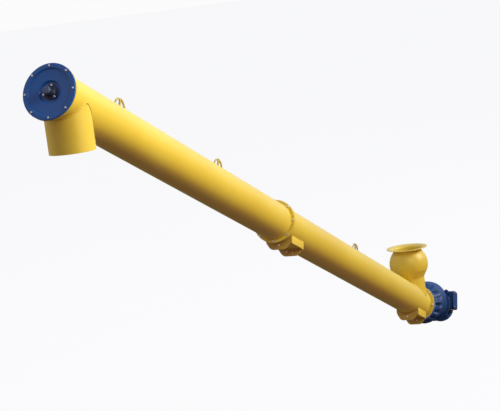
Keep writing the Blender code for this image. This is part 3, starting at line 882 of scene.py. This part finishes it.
def pocketDepth(ahead, angle, reach):
    # pockets between the lands of the bell, one at each bolt and one between, that run out on the shoulder
    turn = gearCase["pockets"] * (angle - math.radians(driveCircle["boltTurn"]))
    opening = eased(gearCase["sharpness"] * math.cos(turn) + gearCase["open"])
    fade = eased((gearCase["fadeEnd"] - ahead) / gearCase["fade"])
    # the pockets between the bolts are shallower
    share = 1 - gearCase["shallow"] * (1 - math.cos(turn / 2))
    return max(reach - gearCase["floor"], 0) * opening * fade * share


def caseShell():
    bm = disc(0, 1, 1, "X", gearCase["sides"])
    along = [edge for edge in bm.edges if abs(edge.verts[0].co.x - edge.verts[1].co.x) > 0.5]
    bmesh.ops.subdivide_edges(bm, edges=along, cuts=gearCase["steps"] - 1, use_grid_fill=True)
    for vert in bm.verts:
        ahead, y, z = vert.co.x * caseLength, vert.co.y, vert.co.z
        wide, tall, across, up = easedSection(ahead)
        depth = pocketDepth(ahead, math.atan2(-y, z), (wide + tall) / 2)
        vert.co = (caseAt + ahead, across + (wide - depth) * y, up + (tall - depth) * z)
    return soften(bm, 0.003, 2, 60)


def plug(ahead, turn):
    # a hexagon plug on a round boss, standing out from the case
    size, bossUp = gearCase["plug"], gearCase["bossUp"]
    boss = soften(disc(-gearCase["bossDeep"], bossUp, size * 0.95, "Z", 32), 0.0012)
    body = joined([boss, hexBlank(bossUp, gearCase["plugLength"], size)])
    wide, tall, across, up = easedSection(ahead)
    outward = Vector((0, -math.sin(math.radians(turn)), math.cos(math.radians(turn))))
    foot = Vector((caseAt + ahead, across + wide * outward.y, up + tall * outward.z))
    return placed(body, Matrix.Translation(foot) @ outward.to_track_quat("Z", "Y").to_matrix().to_4x4())


caseFoot = soften(disc(caseAt, caseAt + drive["footThick"], drive["footRadius"], "X", 128), 0.002)
plugs = [plug(*place) for place in gearCase["plugs"]]
finishPiece("gear_case", joined([caseShell(), caseFoot] + plugs), castPaint, ["gearbox_housing"])

motor = dict(across=-0.040, up=0.060, flangeThick=0.022, flangeRadius=0.155, earReach=0.168, earHalf=0.021,
             earFoot=0.1, earIn=0.0005, bodyLength=0.160, coreRadius=0.106, finRadius=0.118, nearCollar=0.018,
             farCollar=0.010, collarSlope=0.004, fins=40, finThick=0.0032, finSunk=0.003, finUnder=0.0006,
             nearFin=0.010, farFin=0.006, cowlRadius=0.123, cowlLength=0.075, cowlRound=0.018, cowlSteps=8,
             slots=7, slotInner=0.022, slotMargin=0.004, slotDeep=0.004, slotSlope=0.0005)
flangeAt = caseAt + caseLength + gap
flangeEnd = flangeAt + motor["flangeThick"]
bodyAt = flangeEnd + gap
bodyEnd = bodyAt + motor["bodyLength"]
atMotor = Matrix.Translation((0, motor["across"], motor["up"]))
onMotor = onTube @ atMotor


def flangeEar():
    # one of the motor flange's four corners, rounded round its bolt
    reach, half = motor["earReach"], motor["earHalf"]
    near, far = flangeAt + motor["earIn"], flangeEnd - motor["earIn"]
    tip = disc(near, far, half, "X", 48)
    bmesh.ops.translate(tip, vec=(0, 0, reach), verts=tip.verts)
    arm = block((near, -half, motor["earFoot"]), (far, half, reach))
    return joined([soften(tip, 0.002), soften(arm, 0.002)])


corners = [Matrix.Rotation(math.radians(45 + 90 * number), 4, "X") for number in range(4)]
motorFlange = soften(disc(flangeAt, flangeEnd, motor["flangeRadius"], "X", 128), 0.003, 3)
finishPiece("motor_plate", joined([motorFlange, copies(flangeEar(), corners)]), castPaint, ["motor_flange"],
            onMotor)
onEar = Matrix.Translation((flangeEnd, 0, motor["earReach"])) @ Matrix.Rotation(math.pi / 2, 4, "Y")
earBolts = copies(placed(boltHead(sizes["m10"]), onEar), corners)
finishPiece("motor_plate_bolts", earBolts, zincPlate, place=onMotor)


def finnedBody():
    # a round core between two plain collars, with fins along it
    core, outer, slope = motor["coreRadius"], motor["finRadius"], motor["collarSlope"]
    near, far = bodyAt + motor["nearCollar"], bodyEnd - motor["farCollar"]
    body = turned([(bodyAt, 0), (bodyAt, outer), (near, outer), (near + slope, core),
                   (far - slope, core), (far, outer), (bodyEnd, outer), (bodyEnd, 0)])
    half = motor["finThick"] / 2
    fin = block((bodyAt + motor["nearFin"], -half, core - motor["finSunk"]),
                (bodyEnd - motor["farFin"], half, outer - motor["finUnder"]))
    places = [Matrix.Rotation(math.tau * number / motor["fins"], 4, "X") for number in range(motor["fins"])]
    return joined([soften(body, 0.0015), copies(soften(fin, 0.0008, 1, 60), places)])


finishPiece("motor_casing", finnedBody(), castPaint, ["motor_body"], onMotor)


def cowlShape():
    start = bodyEnd + gap
    end = start + motor["cowlLength"]
    radius, edge = motor["cowlRadius"], motor["cowlRound"]
    outline = [(start, 0), (start, radius)]
    for angle in spread(0, math.pi / 2, motor["cowlSteps"]):
        outline.append((end - edge + edge * math.sin(angle), radius - edge + edge * math.cos(angle)))
    # ring slots pressed into the back
    floor, slope = end - motor["slotDeep"], motor["slotSlope"]
    outer = radius - edge - motor["slotMargin"]
    pitch = (outer - motor["slotInner"]) / motor["slots"]
    for number in range(motor["slots"]):
        far = outer - pitch * number
        near = far - pitch / 2
        outline += [(end, far), (floor, far - slope), (floor, near + slope), (end, near)]
    outline.append((end, 0))
    return turned(outline)


finishPiece("fan_hood", soften(cowlShape(), 0.0006, 1, 40), bluePaint, ["fan_cowl"], onMotor)

wireBox = dict(ahead=0.030, length=0.120, back=-0.140, face=-0.199, low=0.0275, high=0.1925, corner=0.010,
               lidThick=0.024, lidOver=0.004, lidCorner=0.028, lidEdge=0.009, screwInset=0.016,
               screwSunk=0.0006, gland=0.030, glandAhead=0.0608, glandAcross=-0.181, glandSunk=0.001)
boxAt = bodyAt + wireBox["ahead"]
boxEnd = boxAt + wireBox["length"]
boxLow, boxHigh, over = wireBox["low"], wireBox["high"], wireBox["lidOver"]
lidBack = wireBox["face"] - gap
lidFace = lidBack - wireBox["lidThick"]


def roundedBlock(low, high, corner, segments):
    # a block whose four edges across the tube are rounded
    bm = block(low, high)
    edges = [edge for edge in bm.edges if abs(edge.verts[0].co.y - edge.verts[1].co.y) > 0.005]
    return roundOff(bm, edges, corner, segments)


box = roundedBlock((boxAt, wireBox["face"], boxLow), (boxEnd, wireBox["back"], boxHigh), wireBox["corner"], 4)
motorSpace = placed(disc(bodyAt, bodyEnd, motor["finRadius"] + gap), atMotor)
box = cutAway(soften(box, 0.0015, 2, 40), motorSpace)
finishPiece("wire_box", box, castPaint, ["terminal_box"])
lid = roundedBlock((boxAt - over, lidFace, boxLow - over), (boxEnd + over, lidBack, boxHigh + over),
                   wireBox["lidCorner"], 6)
finishPiece("wire_box_cover", soften(lid, wireBox["lidEdge"], 5, 40), castPaint, ["terminal_box_lid"])

# cover screws, and the cable gland under the box
inset, proud = wireBox["screwInset"], Matrix.Rotation(math.pi / 2, 4, "X")
screws = [Matrix.Translation((along, lidFace + wireBox["screwSunk"], up)) @ proud
          for along in (boxAt + inset, boxEnd - inset) for up in (boxLow + inset, boxHigh - inset)]
screwHead = turned([(0, 0), (0, 0.0046), (0.0022, 0.0044), (0.0034, 0.0034), (0.0034, 0)], "Z", 20)
finishPiece("wire_box_screws", copies(screwHead, screws), zincPlate)

glandPlace = (boxAt + wireBox["glandAhead"], wireBox["glandAcross"], boxLow + wireBox["glandSunk"])
underBox = onTube @ Matrix.Translation(glandPlace) @ Matrix.Rotation(math.pi, 4, "X")
glandNut = joined([disc(0, 0.003, 0.0165, "Z", 32), hexBlank(0.003, 0.010, wireBox["gland"], 0.1)])
finishPiece("gland_nut", glandNut, zincPlate, place=underBox)
glandCap = turned([(0.013, 0), (0.013, 0.0128), (0.026, 0.0120), (0.036, 0.0090), (0.036, 0)], "Z", 32)
finishPiece("gland_cap", soften(glandCap, 0.001), glandPlastic, place=underBox)
print("drive made")


# floor, light and camera

stage = dict(floorDrop=0.9, floorSize=500, glow=0.90, haze=0.08, backdropRadius=240, backdropGlow=0.97)


def paleFinish(name, glow, haze):
    # pale and even, so that the floor and the backdrop stay plain
    material, tree, shader, coords = newFinish(name)
    mottle = remap(tree, addNoise(tree, coords, 0.8, 3), 0.3, 0.7, 0.97, 1.0)
    colour = blendColour(tree, mottle, (0.94, 0.94, 0.94), (1.0, 1.0, 1.0))
    setShader(tree, shader, {"Base Color": (haze, haze, haze), "Roughness": 0.95, "Specular IOR Level": 0,
                             "Emission Color": colour, "Emission Strength": glow})
    return material


def stagePiece(name, bm, finish):
    # seen by the camera alone, so that the object is lit by the studio and not by its floor
    piece = addObject(name, meshOf(name, bm))
    piece.data.materials.append(finish)
    piece.visible_diffuse = False
    piece.visible_glossy = False
    piece.visible_shadow = False


floorShape = bmesh.new()
bmesh.ops.create_grid(floorShape, x_segments=4, y_segments=4, size=stage["floorSize"] / 2)
bmesh.ops.translate(floorShape, vec=(0, 0, cadLow.z - stage["floorDrop"]), verts=floorShape.verts)
stagePiece("studio_floor", floorShape, paleFinish("pale_floor", stage["glow"], stage["haze"]))
backdropShape = bmesh.new()
bmesh.ops.create_uvsphere(backdropShape, u_segments=48, v_segments=24, radius=stage["backdropRadius"])
bmesh.ops.reverse_faces(backdropShape, faces=backdropShape.faces)
stagePiece("studio_backdrop", backdropShape, paleFinish("pale_backdrop", stage["backdropGlow"], 0.0))

# broad soft lights all round: (towards, tightness, strength and colour)
lobes = (((0, 0, 1), 1, (0.12, 0.20, 0.44)), ((0, -0.819, -0.574), 2, (0.37, 0.155, 0.05)),
         ((0, 0, -1), 4, (0.03, 0.11, 0.32)), ((-0.920, 0, 0.392), 3, (0.29, 0.215, 0.30)),
         ((0, 0.940, 0.342), 2, (0.80, 0.66, 0.50)), ((0.870, -0.120, 0.478), 6, (0.88, 1.00, 1.50)))
# a far key light that is even along the tube, and a fill near its upper half
lamps = dict(
    key=dict(power=5000, colour=(0.97, 0.935, 0.90), size=9, azimuth=25, height=28, away=25, shift=0),
    fill=dict(power=240, colour=(0.78, 0.76, 0.75), size=2.5, azimuth=0, height=35, away=5.5, shift=-3.5),
)
world = bpy.data.worlds.new("studio")
bpy.context.scene.world = world
world.use_nodes = True
skyTree = world.node_tree
direction = addNode(skyTree, "ShaderNodeTexCoord").outputs["Generated"]
total = (0, 0, 0)
for towards, tightness, colour in lobes:
    facing = combineVectors(skyTree, "DOT_PRODUCT", direction, towards, "Value")
    share = combine(skyTree, "POWER", combine(skyTree, "MAXIMUM", facing, 0), tightness)
    glow = addNode(skyTree, "ShaderNodeVectorMath", operation="SCALE")
    feed(skyTree, (glow.inputs[0], glow.inputs["Scale"]), (colour, share))
    total = combineVectors(skyTree, "ADD", total, glow.outputs["Vector"])
skyTree.links.new(total, skyTree.nodes["Background"].inputs["Color"])

middle = (cadLow + cadHigh) / 2
for name, lamp in lamps.items():
    lampData = bpy.data.lights.new(name, "AREA")
    lampData.energy = lamp["power"]
    lampData.color = lamp["colour"]
    lampData.size = lamp["size"]
    lampObject = addObject(name, lampData)
    turnAway, rise = math.radians(lamp["azimuth"]), math.radians(lamp["height"])
    way = Vector((math.sin(turnAway) * math.cos(rise), -math.cos(turnAway) * math.cos(rise), math.sin(rise)))
    lampObject.location = middle + way * lamp["away"] + Vector((lamp["shift"], 0, 0))
    lampObject.rotation_euler = way.to_track_quat("Z", "Y").to_euler()

view = dict(place=(-14.4417, -4.392, 2.6720), right=(0.36092, -0.92383, -0.12757),
            ahead=(0.91554, 0.37703, -0.14015), lens=119.03, sensor=36)
cameraData = bpy.data.cameras.new("camera")
cameraData.lens = view["lens"]
cameraData.sensor_width = view["sensor"]
cameraData.clip_end = 1000
camera = addObject("camera", cameraData)
right, back = Vector(view["right"]), -Vector(view["ahead"])
turn = Matrix((right, back.cross(right), back)).transposed().to_4x4()
camera.matrix_world = Matrix.Translation(view["place"]) @ turn
bpy.context.scene.camera = camera
print("stage made")

bpy.context.scene.view_settings.view_transform = "Standard"
